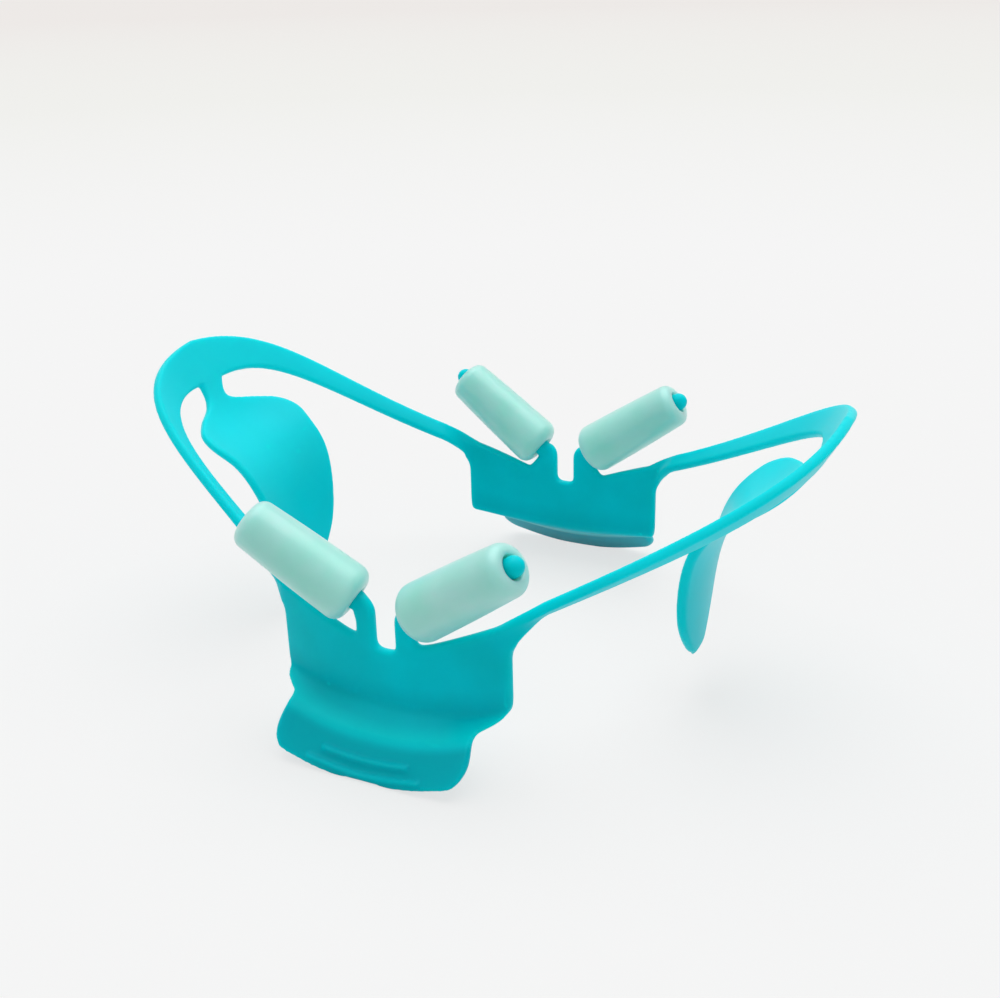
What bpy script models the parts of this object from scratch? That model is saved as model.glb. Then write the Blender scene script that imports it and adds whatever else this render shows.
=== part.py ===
"""Hands-free lip and cheek retractor with four soft bite bumpers.

One moulded frame: two bowed lip shields that face each other, joined on the
left and on the right by a slim band that rises from the shields, sweeps out
and turns round in a bow. A cheek blade hangs inside each bow on a short neck.
Each shield carries two pegs beside its centre notch, and a soft sleeve is
pushed on each peg. Metres, +Z up, the frame stands on its two lip edges.
X runs from bow to bow and Y from shield to shield; both are mirror planes.
"""
import math

import bmesh
import bpy
from mathutils import Vector

MM = 0.001

# Lip shields
SHIELD_DISTANCE = 33.2 * MM      # middle of a shield from the centre, at the notch
SHIELD_THICKNESS = 1.5 * MM
SHIELD_BOW = 5.06                # inward bend to the sides, per metre of width squared
SHIELD_CURL = 8500               # stronger bend near the ends, per cubic metre
FOLD_SMILE = 5.8                 # rise of the fold to the sides, per metre of width squared
LIP_SMILE = 11.5                 # rise of the lip to the sides, same unit
FLARE_GROWTH = 430               # the flare spreads further out near the ends
BODY_HALF_WIDTH = 17.9 * MM
WING_CORNER_WIDTH = 2.4 * MM     # rounded lower corner of the body beside the lip
WING_CORNER_HEIGHT = 3.4 * MM
FOLD_HEIGHT = 7.2 * MM           # where the plain body turns out
FOLD_ROUND = 2.6 * MM
LIP_TOP_OUT = 4.46 * MM          # lip stands this far outside the body
LIP_TOP_HEIGHT = 4.4 * MM
LIP_TOP_ROUND = 1.6 * MM
LIP_FOOT_OUT = 8.3 * MM
LIP_TOP_HALF_WIDTH = 14.3 * MM
LIP_HALF_WIDTH = 15.4 * MM
LIP_CORNER = 2.7 * MM
LIP_FLAT = 4.0 * MM              # half of the straight run that the lip stands on
WING_HEIGHT = 7.2 * MM           # lower edge of the body beside the lip
BODY_TOP_INNER = 18.1 * MM       # top edge beside the pegs
BODY_TOP_START = 7.0 * MM
BODY_TOP_SLOPE = 0.44
TAB_SHOULDER = 20.1 * MM         # height at which the tab turns to its peg
TAB_GAP = 0.5 * MM               # between a tab and the end of its bumper
TAB_HALF_WIDTH = 1.55 * MM       # at the peg
TAB_NECK_WIDTH = 2.2 * MM
NOTCH_HALF_WIDTH = 1.7 * MM
NOTCH_FLOOR = 16.0 * MM
NOTCH_ROUND = 0.9 * MM

# Grip ribs on the lips
RIB_RADIUS = 0.55 * MM
RIB_HEIGHTS = (2.2 * MM, 0.8 * MM)
RIB_HALF_LENGTHS = (6.2 * MM, 8.2 * MM)
RIB_SINK = 0.12 * MM

# Side bands: arms and bows in one
BOW_REACH = 53.0 * MM            # middle of the band from the centre at the bow tip
BOW_HEIGHT = 42.7 * MM
BOW_HANDLE = 0.596 * SHIELD_DISTANCE
ARM_START = (22.33 * MM, SHIELD_DISTANCE - 4.99 * MM, 24.65 * MM)
ARM_LEAD = (18.69 * MM, -8.52 * MM, 9.31 * MM)
ARM_ROOT = (16.1 * MM, 20.5 * MM)
ARM_ROOT_LEAD = 3.2 * MM
ARM_WIDTH = 3.06 * MM
BOW_WIDTH = 7.76 * MM
BOW_WIDTH_GROWTH = 2.26
BAND_THICKNESS = 1.6 * MM
ARM_FLARE = math.radians(52.0)
BOW_FLARE = math.radians(28.8)
ARM_FILLET = 3.4 * MM
ARM_FILLET_INSIDE = 1.3 * MM
ARM_STEPS = 18
ROOT_STEPS = 8

# Cheek blades
BLADE_THICKNESS = 1.5 * MM
BLADE_END = (34.8 * MM, 5.9 * MM)
BLADE_TOP_HANDLE = 17.0 * MM
BLADE_END_HANDLE = (0.8 * MM, 32.0 * MM)
BLADE_DISH = 1.9 * MM            # how far the edges bend inward at the widest place
BLADE_NECK_OVERLAP = 1.2 * MM
BLADE_STATIONS = (0.0, 0.07, 0.11, 0.17, 0.25, 0.38, 0.52, 0.70, 0.86, 1.0)
BLADE_HALF_WIDTHS = (3.0, 2.4, 3.2, 7.4, 10.6, 11.9, 11.3, 10.2, 7.8, 4.6)
BLADE_ROUND_START = 0.90
BLADE_LONG_STEPS = 20
BLADE_CROSS_STEPS = 8

# Pegs
PEG_RADIUS = 1.5 * MM
PEG_SINK = 2.6 * MM              # length of a peg inside its tab
PEG_FLAT = 0.3                   # thickness of the sunk end as a share of the peg's
PEG_STAND_OUT = 1.5 * MM
PEG_SIDES = 14

# Bite bumpers
BUMPER_ROOT = (4.5 * MM, SHIELD_DISTANCE - 0.1 * MM, 23.0 * MM)
BUMPER_TIP = (20.4 * MM, SHIELD_DISTANCE + 1.5 * MM, 33.3 * MM)
BUMPER_ROOT_RADIUS = 4.35 * MM
BUMPER_FREE_RADIUS = 3.7 * MM
BUMPER_CROWN = 0.12 * MM
BUMPER_END_ROUND = 1.9 * MM
BORE_CLEARANCE = 0.3 * MM
BUMPER_SIDES = 30

FRAME_COLOUR = (0.0, 0.55, 0.62, 1.0)
BUMPER_COLOUR = (0.50, 0.82, 0.68, 1.0)


def clear_scene():
    """Take out whatever the start file holds."""
    for obj in list(bpy.data.objects):
        bpy.data.objects.remove(obj, do_unlink=True)


def make_material(name, colour, roughness):
    """One plastic look with its own colour."""
    material = bpy.data.materials.new(name)
    material.use_nodes = True
    shader = material.node_tree.nodes["Principled BSDF"]
    shader.inputs["Base Color"].default_value = colour
    shader.inputs["Roughness"].default_value = roughness
    shader.inputs["Metallic"].default_value = 0.0
    material.diffuse_color = colour
    return material


def new_object(name, bm):
    """Turn a bmesh into a scene object of triangles that look outward."""
    bmesh.ops.triangulate(bm, faces=bm.faces)
    bmesh.ops.recalc_face_normals(bm, faces=bm.faces)
    mesh = bpy.data.meshes.new(name)
    bm.to_mesh(mesh)
    bm.free()
    obj = bpy.data.objects.new(name, mesh)
    bpy.context.scene.collection.objects.link(obj)
    return obj


def loft(name, rings, closed_along=False):
    """Skin a row of equal rings; the first and last are capped."""
    bm = bmesh.new()
    rows = [[bm.verts.new(p) for p in ring] for ring in rings]
    count = len(rows[0])
    pairs = list(zip(rows, rows[1:]))
    if closed_along:
        pairs.append((rows[-1], rows[0]))
    for low, high in pairs:
        for i in range(count):
            j = (i + 1) % count
            bm.faces.new((low[i], low[j], high[j], high[i]))
    if not closed_along:
        bm.faces.new(rows[0])
        bm.faces.new(rows[-1])
    return new_object(name, bm)


def sheet(name, front, back):
    """Solid sheet between two equal grids of points."""
    bm = bmesh.new()
    sides = [[[bm.verts.new(p) for p in row] for row in grid] for grid in (front, back)]
    rows = len(front)
    columns = len(front[0])
    for grid in sides:
        for r in range(rows - 1):
            for k in range(columns - 1):
                bm.faces.new((grid[r][k], grid[r][k + 1], grid[r + 1][k + 1], grid[r + 1][k]))
    rim = [(0, k) for k in range(columns)]
    rim += [(r, columns - 1) for r in range(1, rows)]
    rim += [(rows - 1, k) for k in range(columns - 2, -1, -1)]
    rim += [(r, 0) for r in range(rows - 2, 0, -1)]
    for (a, b), (c, d) in zip(rim, rim[1:] + rim[:1]):
        bm.faces.new((sides[0][a][b], sides[0][c][d], sides[1][c][d], sides[1][a][b]))
    return new_object(name, bm)


def boolean(target, tool, operation):
    """Apply one exact Boolean and remove the tool."""
    modifier = target.modifiers.new(operation, "BOOLEAN")
    modifier.operation = operation
    modifier.solver = "EXACT"
    modifier.object = tool
    bpy.context.view_layer.objects.active = target
    bpy.context.view_layer.update()
    evaluated = target.evaluated_get(bpy.context.evaluated_depsgraph_get())
    mesh = bpy.data.meshes.new_from_object(evaluated)
    target.modifiers.clear()
    old = target.data
    target.data = mesh
    bpy.data.meshes.remove(old)
    bpy.data.objects.remove(tool, do_unlink=True)


def mirrored(point, sx, sy):
    """Send a point of the +X +Y quarter to another quarter."""
    return Vector((point[0] * sx, point[1] * sy, point[2]))


def arc(centre, radius, start, end, steps):
    """Points of an arc in a plane, angles in degrees."""
    points = []
    for i in range(steps + 1):
        angle = math.radians(start + (end - start) * i / steps)
        points.append((centre[0] + radius * math.cos(angle), centre[1] + radius * math.sin(angle)))
    return points


def rounded_corner(before, corner, after, radius, steps):
    """Arc of a given radius that rounds the corner between two straight runs."""
    corner = Vector(corner)
    u = (Vector(before) - corner).normalized()
    v = (Vector(after) - corner).normalized()
    half = u.angle(v) / 2
    reach = radius / math.tan(half)
    first = corner + u * reach
    last = corner + v * reach
    centre = corner + (u + v).normalized() * (radius / math.sin(half))
    a = first - centre
    b = last - centre
    turn = a.angle(b)
    points = []
    for i in range(steps + 1):
        f = i / steps
        points.append(centre + (a * math.sin((1 - f) * turn) + b * math.sin(f * turn)) / math.sin(turn))
    return points


def shield_y(x):
    """Middle of the plain body of a shield at width x."""
    return SHIELD_DISTANCE - SHIELD_BOW * x ** 2 - SHIELD_CURL * x ** 4


def shield_point(x, out, z):
    """Point of a shield from its place in the centre section, bent to width x."""
    f = min(max((FOLD_HEIGHT - z) / (FOLD_HEIGHT - LIP_TOP_HEIGHT), 0.0), 1.0)
    smile = FOLD_SMILE + (LIP_SMILE - FOLD_SMILE) * f
    return Vector((x, shield_y(x) + out * (1 + FLARE_GROWTH * x * x), z + smile * x * x))


def shield_profile(offset):
    """Section of a shield at its centre, moved outward by an offset."""
    top = Vector((0.0, 1.8 * TAB_SHOULDER))
    fold = Vector((0.0, FOLD_HEIGHT))
    lip_top = Vector((LIP_TOP_OUT, LIP_TOP_HEIGHT))
    run = LIP_FOOT_OUT - LIP_TOP_OUT
    foot = Vector((LIP_FOOT_OUT + run * 0.5, -LIP_TOP_HEIGHT * 0.5))
    middle = [top, Vector((0.0, FOLD_HEIGHT * 1.6))]
    middle += rounded_corner(top, fold, lip_top, FOLD_ROUND, 5)
    middle += rounded_corner(fold, lip_top, foot, LIP_TOP_ROUND, 4)
    middle.append(foot)
    moved = []
    for i, p in enumerate(middle):
        a = middle[max(i - 1, 0)]
        b = middle[min(i + 1, len(middle) - 1)]
        along = (b - a).normalized()
        moved.append(p + Vector((-along.y, along.x)) * offset)
    return moved


def shield_grid(offset, sy):
    """One face of a shield before its outline is cut."""
    half = BODY_HALF_WIDTH + 1.0 * MM
    columns = 20
    rows = []
    for out, z in shield_profile(offset):
        row = []
        for k in range(columns + 1):
            x = -half + 2 * half * k / columns
            row.append(mirrored(shield_point(x, out, z), 1, sy))
        rows.append(row)
    return rows


def body_top(x):
    """Height of the top edge of a shield beside its pegs."""
    return BODY_TOP_INNER + BODY_TOP_SLOPE * (x - BODY_TOP_START)


def peg_axis():
    """Root, direction and length of the middle line of a bumper."""
    root = Vector(BUMPER_ROOT)
    axis = Vector(BUMPER_TIP) - root
    return root, axis.normalized(), axis.length


def tab_outline():
    """Tab beside the notch: a neck that leans over and ends square to its peg."""
    root, axis, _ = peg_axis()
    along = Vector((axis.x, axis.z)).normalized()
    across = Vector((-along.y, along.x))
    face = Vector((root.x, root.z)) - along * TAB_GAP
    top = face + across * TAB_HALF_WIDTH
    low = face - across * TAB_HALF_WIDTH
    wall = Vector((NOTCH_HALF_WIDTH, TAB_SHOULDER))
    bend = rounded_corner(wall - Vector((0.0, 2 * MM)), wall + Vector((0.0, 2.2 * MM)), top, 2.4 * MM, 4)
    neck = wall + Vector((TAB_NECK_WIDTH, 0.0))
    foot = Vector((neck.x, 0.96 * BODY_TOP_INNER))
    inner = rounded_corner(low, neck, foot, 1.2 * MM, 3)
    inner += rounded_corner(neck, foot, Vector((BODY_TOP_START, BODY_TOP_INNER)), 0.8 * MM, 3)
    return [tuple(p) for p in bend] + [tuple(top), tuple(low)] + [tuple(p) for p in inner]


def shield_outline():
    """Right half of the front view of a shield, from the notch floor round to the foot."""
    points = arc((NOTCH_HALF_WIDTH - NOTCH_ROUND, NOTCH_FLOOR + NOTCH_ROUND), NOTCH_ROUND, -90, 0, 4)
    points += tab_outline()
    points.append((BODY_TOP_START, BODY_TOP_INNER))
    points.append((BODY_HALF_WIDTH, body_top(BODY_HALF_WIDTH) - 0.15 * MM))
    centre_x = BODY_HALF_WIDTH - WING_CORNER_WIDTH
    for x, z in arc((0.0, 0.0), 1.0, 0, -90, 7):
        points.append((centre_x + x * WING_CORNER_WIDTH, WING_HEIGHT + (1 + z) * WING_CORNER_HEIGHT))
    flat = Vector((LIP_FLAT, 0.0))
    side = Vector((LIP_TOP_HALF_WIDTH, WING_HEIGHT))
    points.append(tuple(side))
    lower = []
    for share in (1.0, 0.72, 0.48):
        x = share * LIP_HALF_WIDTH
        lower.append(Vector((x, LIP_SMILE * (x * x - LIP_FLAT ** 2))))
    points += [tuple(p) for p in rounded_corner(side, lower[0], lower[1], LIP_CORNER, 7)]
    points += [tuple(p) for p in lower[1:]]
    points.append(tuple(flat))
    return points


def make_shield(sy):
    """Curved slab cut to its outline."""
    half = SHIELD_THICKNESS / 2
    slab = sheet("shield", shield_grid(half, sy), shield_grid(-half, sy))
    right = shield_outline()
    left = [(-x, z) for x, z in reversed(right)]
    outline = right + left
    near = [Vector((x, sy * 0.6 * SHIELD_DISTANCE, z)) for x, z in outline]
    far = [Vector((x, sy * 1.6 * SHIELD_DISTANCE, z)) for x, z in outline]
    boolean(slab, loft("outline", (near, far)), "INTERSECT")
    return slab


def lip_point(x, height):
    """Outer face of a lip at width x and height above the foot."""
    f = (LIP_TOP_HEIGHT - height) / LIP_TOP_HEIGHT
    run = LIP_FOOT_OUT - LIP_TOP_OUT
    normal = Vector((LIP_TOP_HEIGHT, run)).normalized()
    lift = SHIELD_THICKNESS / 2 - RIB_SINK
    return shield_point(x, LIP_TOP_OUT + run * f + normal.x * lift, height + normal.y * lift)


def make_rib(height, half_length, sy):
    """Low round rib along a lip with rounded ends."""
    steps = 11
    sides = 6
    rings = []
    for i in range(steps + 1):
        f = -math.cos(math.pi * i / steps)
        x = half_length * f
        radius = RIB_RADIUS * max(math.sqrt(max(1 - abs(f) ** 6, 0.0)), 0.12)
        centre = lip_point(x, height)
        ring = []
        for k in range(sides):
            angle = 2 * math.pi * k / sides
            p = centre + Vector((0.0, math.cos(angle), math.sin(angle))) * radius
            ring.append(mirrored(p, 1, sy))
        rings.append(ring)
    return loft("rib", rings)


def bezier(p0, p1, p2, p3, t):
    """Point of a cubic curve."""
    u = 1 - t
    return p0 * u ** 3 + p1 * (3 * u * u * t) + p2 * (3 * u * t * t) + p3 * t ** 3


def bezier_along(p0, p1, p2, p3, t):
    """Direction of a cubic curve."""
    u = 1 - t
    return ((p1 - p0) * (u * u) + (p2 - p1) * (2 * u * t) + (p3 - p2) * (t * t)).normalized()


def band_frame(along, flare):
    """Directions across the band's width (upward) and across its thickness (outward)."""
    outward = Vector((-along.y, along.x, 0.0)).normalized()
    if outward.x < 0:
        outward = -outward
    up = Vector((0.0, 0.0, 1.0)) * math.cos(flare) + outward * math.sin(flare)
    up = (up - along * up.dot(along)).normalized()
    face = along.cross(up).normalized()
    if face.dot(outward) < 0:
        face = -face
    return up, face


def band_sections():
    """Centre, directions and half widths of the band from a shield to the bow tip."""
    start = Vector(ARM_START)
    lead = Vector(ARM_LEAD)
    root = Vector((ARM_ROOT[0], shield_y(ARM_ROOT[0]), ARM_ROOT[1]))
    slope = Vector((1.0, -2 * SHIELD_BOW * ARM_ROOT[0], BODY_TOP_SLOPE)).normalized()
    r1 = root + slope * ARM_ROOT_LEAD
    r2 = start - lead.normalized() * (ARM_ROOT_LEAD * 0.7)
    sections = []
    for i in range(ROOT_STEPS):
        t = i / ROOT_STEPS
        ease = t * t * (3 - 2 * t)
        centre = bezier(root, r1, r2, start, t)
        along = bezier_along(root, r1, r2, start, t)
        up, face = band_frame(along, ARM_FLARE * ease)
        beyond = min(max(centre.x - BODY_HALF_WIDTH + ARM_FILLET_INSIDE, 0.0), ARM_FILLET)
        drop = ARM_FILLET - math.sqrt(max(ARM_FILLET ** 2 - (ARM_FILLET - beyond) ** 2, 0.0))
        sections.append((centre, up, face, ARM_WIDTH / 2, ARM_WIDTH / 2 + drop))
    tip_lead = Vector((BOW_REACH, BOW_HANDLE, BOW_HEIGHT))
    tip = Vector((BOW_REACH, 0.0, BOW_HEIGHT))
    for i in range(ARM_STEPS + 1):
        t = i / ARM_STEPS
        centre = bezier(start, start + lead, tip_lead, tip, t)
        along = bezier_along(start, start + lead, tip_lead, tip, t)
        up, face = band_frame(along, ARM_FLARE + (BOW_FLARE - ARM_FLARE) * t)
        half = (ARM_WIDTH + (BOW_WIDTH - ARM_WIDTH) * t ** BOW_WIDTH_GROWTH) / 2
        sections.append((centre, up, face, half, half))
    return sections


def band_ring(section, sx, sy):
    """Flat ring with cut corners round one section of the band."""
    centre, up, face, above, below = section
    half = BAND_THICKNESS / 2
    cut = 0.4 * half
    corners = ((above, half - cut), (above - cut, half), (-below + cut, half), (-below, half - cut),
               (-below, -half + cut), (-below + cut, -half), (above - cut, -half), (above, -half + cut))
    return [mirrored(centre + up * a + face * b, sx, sy) for a, b in corners]


def make_band(sx):
    """Arm, bow and arm of one side as one loft."""
    sections = band_sections()
    rings = [band_ring(s, sx, 1) for s in sections]
    rings += [band_ring(s, sx, -1) for s in reversed(sections[:-1])]
    return loft("band", rings)


def blade_half_width(t):
    """Half width of a blade: smooth through its stations, round at its end."""
    xs = BLADE_STATIONS
    ws = BLADE_HALF_WIDTHS
    slopes = [0.0]
    for i in range(1, len(xs) - 1):
        slopes.append((ws[i + 1] - ws[i - 1]) / (xs[i + 1] - xs[i - 1]))
    slopes.append(slopes[-1])
    i = max(k for k in range(len(xs) - 1) if t >= xs[k])
    step = xs[i + 1] - xs[i]
    f = (t - xs[i]) / step
    width = ws[i] * (1 + 2 * f) * (1 - f) ** 2 + ws[i + 1] * f * f * (3 - 2 * f)
    width += step * (slopes[i] * f * (1 - f) ** 2 + slopes[i + 1] * f * f * (f - 1))
    past = max(t - BLADE_ROUND_START, 0.0) / (1 - BLADE_ROUND_START)
    return width * max(math.sqrt(1 - past * past), 0.3) * MM


def blade_curve():
    """The four control points of a blade's side view."""
    tip_section = band_sections()[-1]
    centre, up, _, _, below = tip_section
    start = centre - up * (below - BLADE_NECK_OVERLAP)
    end = Vector((BLADE_END[0], 0.0, BLADE_END[1]))
    handle = end + Vector((BLADE_END_HANDLE[0], 0.0, BLADE_END_HANDLE[1]))
    return start, start - up * BLADE_TOP_HANDLE, handle, end


def blade_grids(sx):
    """Outer and inner face of a blade."""
    curve = blade_curve()
    widest = max(BLADE_HALF_WIDTHS) * MM
    stations = [BLADE_ROUND_START * i / BLADE_LONG_STEPS for i in range(BLADE_LONG_STEPS)]
    stations += [1 - (1 - BLADE_ROUND_START) * (1 - math.sin(math.radians(18 * k))) for k in range(6)]
    grids = ([], [])
    for t in stations:
        centre = bezier(*curve, t)
        along = bezier_along(*curve, t)
        outward = Vector((-along.z, 0.0, along.x))
        half = blade_half_width(t)
        rows = ([], [])
        for k in range(BLADE_CROSS_STEPS + 1):
            y = half * math.sin(math.pi * (k / BLADE_CROSS_STEPS - 0.5))
            dish = BLADE_DISH * (y / widest) ** 2
            middle = centre + Vector((0.0, y, 0.0)) - outward * dish
            for side, row in zip((0.5, -0.5), rows):
                row.append(mirrored(middle + outward * (BLADE_THICKNESS * side), sx, 1))
        grids[0].append(rows[0])
        grids[1].append(rows[1])
    return grids


def make_peg(sx, sy):
    """Round peg that grows out of its tab and ends in a dome."""
    root, axis, length = peg_axis()
    side = Vector((0.0, 1.0, 0.0))
    u = (side - axis * side.dot(axis)).normalized()
    v = axis.cross(u)
    stops = [(-PEG_SINK, 0.55, PEG_FLAT * 0.8), (-PEG_SINK * 0.7, 0.9, PEG_FLAT)]
    stops += [(-PEG_SINK * 0.4, 1.0, (1 + PEG_FLAT) / 2), (-PEG_SINK * 0.1, 1.0, 1.0)]
    free = length + PEG_STAND_OUT - PEG_RADIUS
    for k in range(6):
        angle = math.radians(16 * k)
        stops.append((free + PEG_RADIUS * math.sin(angle), math.cos(angle), math.cos(angle)))
    rings = []
    for distance, wide, thick in stops:
        ring = []
        for k in range(PEG_SIDES):
            angle = 2 * math.pi * k / PEG_SIDES
            spoke = u * (math.cos(angle) * thick) + v * (math.sin(angle) * wide)
            ring.append(mirrored(root + axis * distance + spoke * PEG_RADIUS, sx, sy))
        rings.append(ring)
    return loft("peg", rings)


def bumper_profile(length):
    """Closed section of a sleeve: distance along its axis and radius."""
    bore = PEG_RADIUS + BORE_CLEARANCE
    r = BUMPER_END_ROUND
    inner_r = 0.35 * MM
    points = arc((r, BUMPER_ROOT_RADIUS - r), r, 180, 90, 4)
    points.append((length / 2, (BUMPER_ROOT_RADIUS + BUMPER_FREE_RADIUS) / 2 + BUMPER_CROWN))
    points += arc((length - r, BUMPER_FREE_RADIUS - r), r, 90, 0, 4)
    points += [(length, bore + inner_r), (length - inner_r, bore), (inner_r, bore), (0.0, bore + inner_r)]
    return points


def make_bumper(name, sx, sy):
    """Soft sleeve turned round its peg's axis."""
    root, axis, length = peg_axis()
    side = Vector((0.0, 1.0, 0.0))
    u = (side - axis * side.dot(axis)).normalized()
    v = axis.cross(u)
    rings = []
    for k in range(BUMPER_SIDES):
        angle = 2 * math.pi * k / BUMPER_SIDES
        spoke = u * math.sin(angle) - v * math.cos(angle)
        rings.append([mirrored(root + axis * a + spoke * r, sx, sy) for a, r in bumper_profile(length)])
    return loft(name, rings, closed_along=True)


def make_frame():
    """Union of all the regions of the moulded frame."""
    frame = make_shield(1)
    pieces = [make_shield(-1)]
    for sx in (1, -1):
        pieces.append(make_band(sx))
        pieces.append(sheet("blade", *blade_grids(sx)))
    for sy in (1, -1):
        pieces += [make_rib(h, l, sy) for h, l in zip(RIB_HEIGHTS, RIB_HALF_LENGTHS)]
        pieces += [make_peg(sx, sy) for sx in (1, -1)]
    for piece in pieces:
        boolean(frame, piece, "UNION")
    frame.name = "frame"
    frame.data.name = "frame"
    return frame


def finish(obj, material, angle):
    """Material and smooth shading with sharp edges kept above an angle."""
    obj.data.materials.clear()
    obj.data.materials.append(material)
    bm = bmesh.new()
    bm.from_mesh(obj.data)
    bmesh.ops.remove_doubles(bm, verts=bm.verts, dist=0.00001)
    bmesh.ops.recalc_face_normals(bm, faces=bm.faces)
    for face in bm.faces:
        face.smooth = True
    for edge in bm.edges:
        edge.smooth = edge.calc_face_angle(0.0) < math.radians(angle)
    bm.to_mesh(obj.data)
    bm.free()


def main():
    """Build the frame and its four sleeves."""
    clear_scene()
    frame = make_frame()
    finish(frame, make_material("frame_plastic", FRAME_COLOUR, 0.3), 35)
    bumpers = (("bumper_front_left", -1, -1), ("bumper_front_right", 1, -1),
               ("bumper_rear_left", -1, 1), ("bumper_rear_right", 1, 1))
    for name, sx, sy in bumpers:
        bumper = make_bumper(name, sx, sy)
        finish(bumper, make_material(name + "_rubber", BUMPER_COLOUR, 0.55), 35)


main()
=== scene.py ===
# %% [markdown]
# # A hands-free lip and cheek retractor
#
# The real thing is one springy moulding of turquoise plastic. Two curved lip
# shields face each other, two slim bands rise from them and turn round in a
# bow, and a cheek blade hangs inside each bow. Four soft mint sleeves sit on
# pegs beside the notches, where the teeth bite. This lesson dresses the packed
# CAD model: each visible piece is made again with finer faces and soft moulded
# edges, gets its own plastic, and is photographed on a pale floor.

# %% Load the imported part
import bisect
import math

import bmesh
import bpy
import mathutils
from mathutils import Matrix, Vector


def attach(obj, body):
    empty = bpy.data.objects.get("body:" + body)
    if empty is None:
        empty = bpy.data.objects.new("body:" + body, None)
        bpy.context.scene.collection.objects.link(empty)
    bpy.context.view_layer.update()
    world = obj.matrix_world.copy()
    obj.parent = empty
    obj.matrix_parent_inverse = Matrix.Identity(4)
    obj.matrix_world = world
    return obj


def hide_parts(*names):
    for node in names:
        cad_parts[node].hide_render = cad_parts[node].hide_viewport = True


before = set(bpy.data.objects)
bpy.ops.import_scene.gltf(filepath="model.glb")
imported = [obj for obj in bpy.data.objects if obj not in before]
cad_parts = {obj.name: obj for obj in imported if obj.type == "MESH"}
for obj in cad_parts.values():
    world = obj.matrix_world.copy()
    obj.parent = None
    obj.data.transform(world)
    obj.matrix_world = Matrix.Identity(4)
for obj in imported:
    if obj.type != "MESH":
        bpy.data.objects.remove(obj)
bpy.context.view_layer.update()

MM = 0.001
print("CAD nodes:", ", ".join(sorted(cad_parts)))

# %% [markdown]
# ## The camera
#
# The view comes first, so that every piece can be judged in it at once. The
# photograph looks down on the retractor from the front right, at 23 degrees,
# and leans a little to one side. A camera could be turned by hand, but an
# azimuth, an elevation and a roll say plainly where it stands.

# %% Camera at the photograph's angle
CAMERA_PLACE = Vector((80.66, -165.79, 103.92)) * MM
CAMERA_AZIMUTH = math.radians(25.29)
CAMERA_ELEVATION = math.radians(23.01)
CAMERA_ROLL = math.radians(-1.50)
CAMERA_LENS = 45.61


def new_object(name, data):
    """Object at the origin for a finished mesh, a camera or a light."""
    data.name = name
    made = bpy.data.objects.new(name, data)
    bpy.context.scene.collection.objects.link(made)
    return made


camera_data = bpy.data.cameras.new("camera")
camera_data.sensor_fit = "HORIZONTAL"
camera_data.sensor_width = 36.0
camera_data.lens = CAMERA_LENS
camera_data.clip_start = 0.01
camera_data.clip_end = 60.0
camera = new_object("camera", camera_data)

look = Vector((-math.sin(CAMERA_AZIMUTH) * math.cos(CAMERA_ELEVATION),
               math.cos(CAMERA_AZIMUTH) * math.cos(CAMERA_ELEVATION),
               -math.sin(CAMERA_ELEVATION)))
level = Vector((math.cos(CAMERA_AZIMUTH), math.sin(CAMERA_AZIMUTH), 0.0))
upright = level.cross(look)
right = level * math.cos(CAMERA_ROLL) + upright * math.sin(CAMERA_ROLL)
top = upright * math.cos(CAMERA_ROLL) - level * math.sin(CAMERA_ROLL)
turn = Matrix((right, top, -look)).transposed().to_4x4()
camera.matrix_world = Matrix.Translation(CAMERA_PLACE) @ turn
bpy.context.scene.camera = camera
print("camera stands", round(CAMERA_PLACE.length / MM), "mm from the middle of the floor")

# %% [markdown]
# ## Two small tools: a wire and a tree
#
# Materials and Geometry Nodes are both graphs of nodes. Writing each node and
# link by hand hides what is meant, so one class wraps a socket. Wires can be
# added, subtracted, multiplied and divided like numbers, and each sum adds its
# Math node. Any other node comes from the method `node`. A few functions name
# the sums that come back most often.


# %% The wire class
def both_ways(operation):
    """Two methods that add a Math node: the wire first, or the other value first."""
    return (lambda self, other: self.maths(operation, self, other),
            lambda self, other: self.maths(operation, other, self))


class Wire:
    """One socket of a node tree. Sums of wires and numbers add Math nodes."""

    def __init__(self, tree, socket=None):
        self.tree = tree
        self.socket = socket

    def node(self, kind, settings=None, inputs=None, output=0):
        """Add a node: its settings first, then the values or wires of its sockets."""
        made = self.tree.nodes.new(kind)
        for name, value in (settings or {}).items():
            if name == "stops":
                ramp = made.color_ramp.elements
                while len(ramp) < len(value):
                    ramp.new(0.5)
                for stop, (place, colour) in zip(ramp, value):
                    stop.position = place
                    stop.color = colour
            else:
                setattr(made, name, value)
        for name, value in (inputs or {}).items():
            if isinstance(value, Wire):
                self.tree.links.new(value.socket, made.inputs[name])
            else:
                made.inputs[name].default_value = value
        return Wire(self.tree, made.outputs[output] if len(made.outputs) else None)

    def beside(self, output):
        """Another output of the same node."""
        return Wire(self.tree, self.socket.node.outputs[output])

    def maths(self, operation, *values):
        """A Math node on wires and numbers."""
        return self.node("ShaderNodeMath", {"operation": operation}, dict(enumerate(values)))

    __add__, __radd__ = both_ways("ADD")
    __sub__, __rsub__ = both_ways("SUBTRACT")
    __mul__, __rmul__ = both_ways("MULTIPLY")
    __truediv__, __rtruediv__ = both_ways("DIVIDE")
    __pow__, __rpow__ = both_ways("POWER")


def clamp(wire):
    """The wire kept between 0 and 1."""
    return wire.node("ShaderNodeClamp", inputs={"Value": wire})


def absolute(wire):
    """The wire without its sign."""
    return wire.maths("ABSOLUTE", wire)


def stripe(wire, middle, reach):
    """1 where the wire has a middle value, falling to 0 at a reach on either side."""
    return clamp(1.0 - absolute(wire - middle) / reach)


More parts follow.
